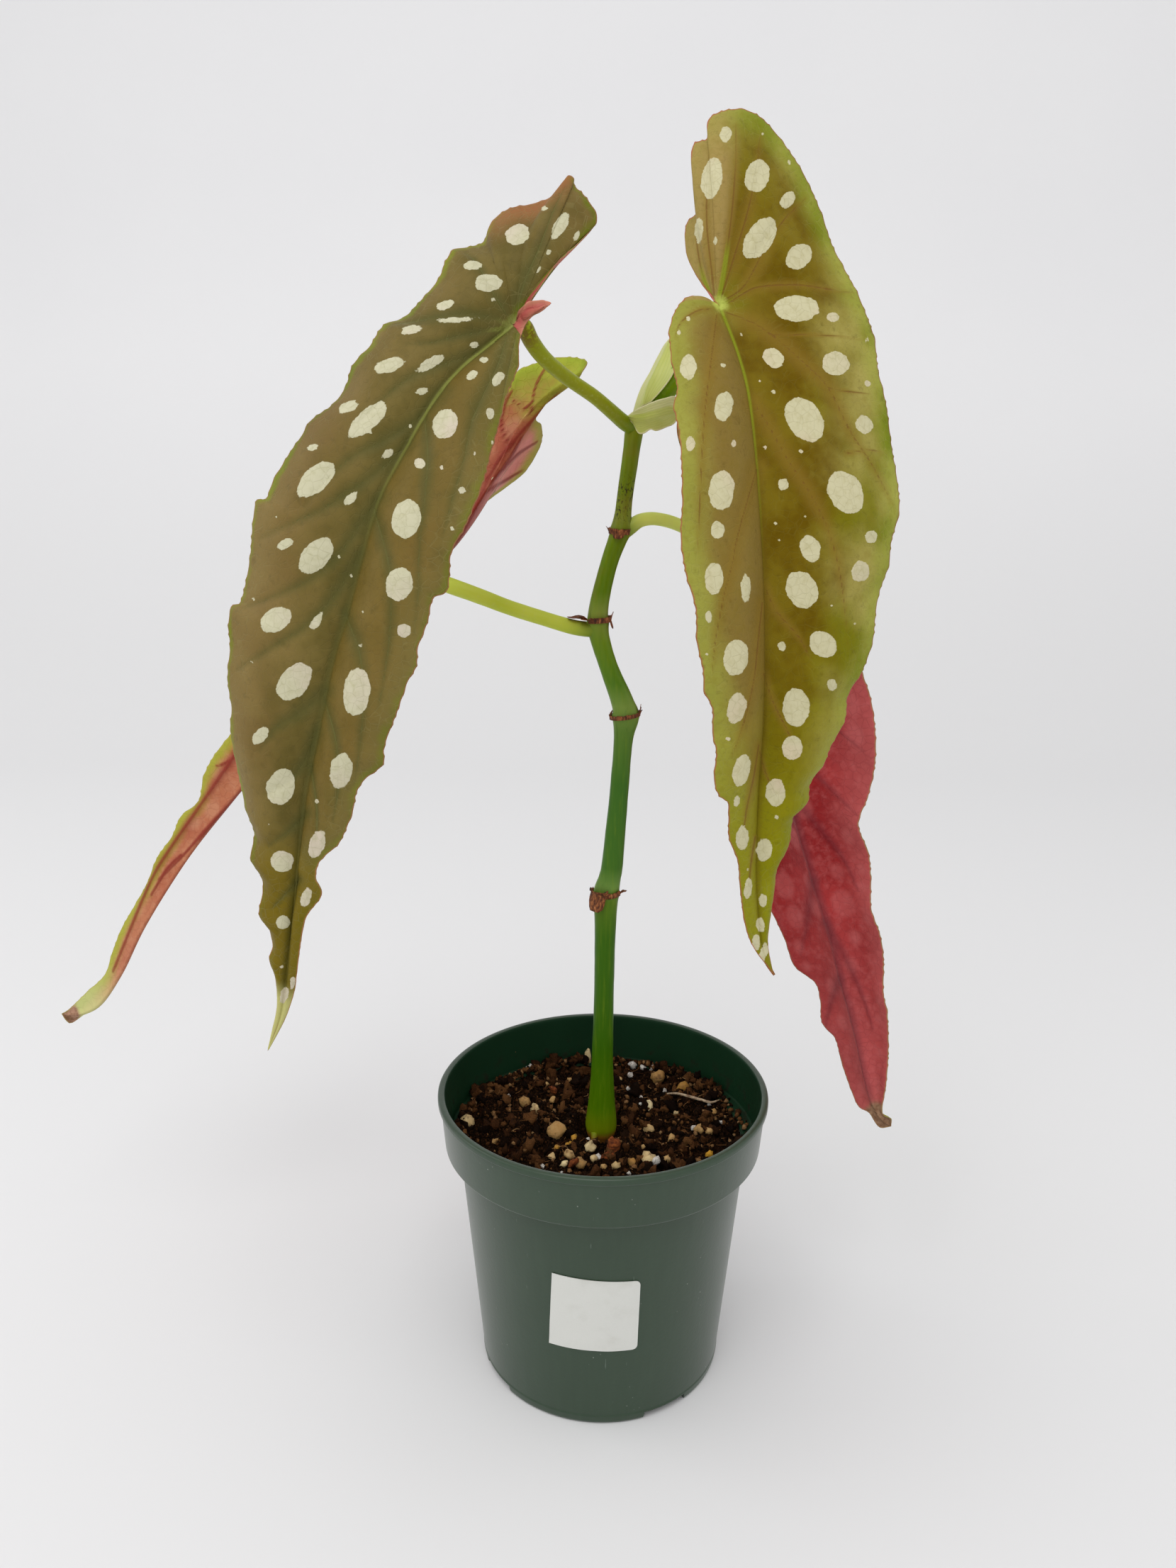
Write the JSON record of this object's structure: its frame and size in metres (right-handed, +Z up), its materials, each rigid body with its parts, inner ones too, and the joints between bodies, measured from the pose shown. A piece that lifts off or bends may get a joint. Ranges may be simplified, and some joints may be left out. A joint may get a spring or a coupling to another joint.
{
  "type": "potted polka dot begonia",
  "caption": "Cane begonia with four spotted angel-wing leaves on long stalks, growing from soil in a tapered nursery pot.",
  "frame": {"origin": "on the pot's axis, on the plane that the pot stands on", "axes": "+Z up along the cane, -Y towards the side that carries the label, +X to the right as seen from that side"},
  "size_m": [0.2973, 0.1435, 0.3792],
  "materials": {
    "pot_plastic": "satin moulded plastic, dark grey-green",
    "label_paper": "matte white paper",
    "soil": "crumbly peat mix with perlite, grit and bark",
    "cane_green": "smooth waxy green stem",
    "dry_scale": "dry papery brown",
    "petiole_green": "smooth waxy yellow-green stalk",
    "stipule_pale": "thin pale green scale",
    "leaf_blade": "semi-gloss olive leaf with cream spots, red underneath"
  },
  "bodies": {
    "root": {"pot": "pot_plastic", "label": "label_paper", "soil": "soil", "cane": "cane_green", "dry_collar_1": "dry_scale", "dry_collar_2": "dry_scale", "dry_collar_3": "dry_scale", "dry_collar_4": "dry_scale", "petiole_a": "petiole_green", "petiole_b": "petiole_green", "petiole_c": "petiole_green", "petiole_d": "petiole_green", "stipule_upper": "stipule_pale", "stipule_lower": "stipule_pale", "leaf_a": "leaf_blade", "leaf_b": "leaf_blade", "leaf_c": "leaf_blade", "leaf_d": "leaf_blade"}
  },
  "joints": []
}
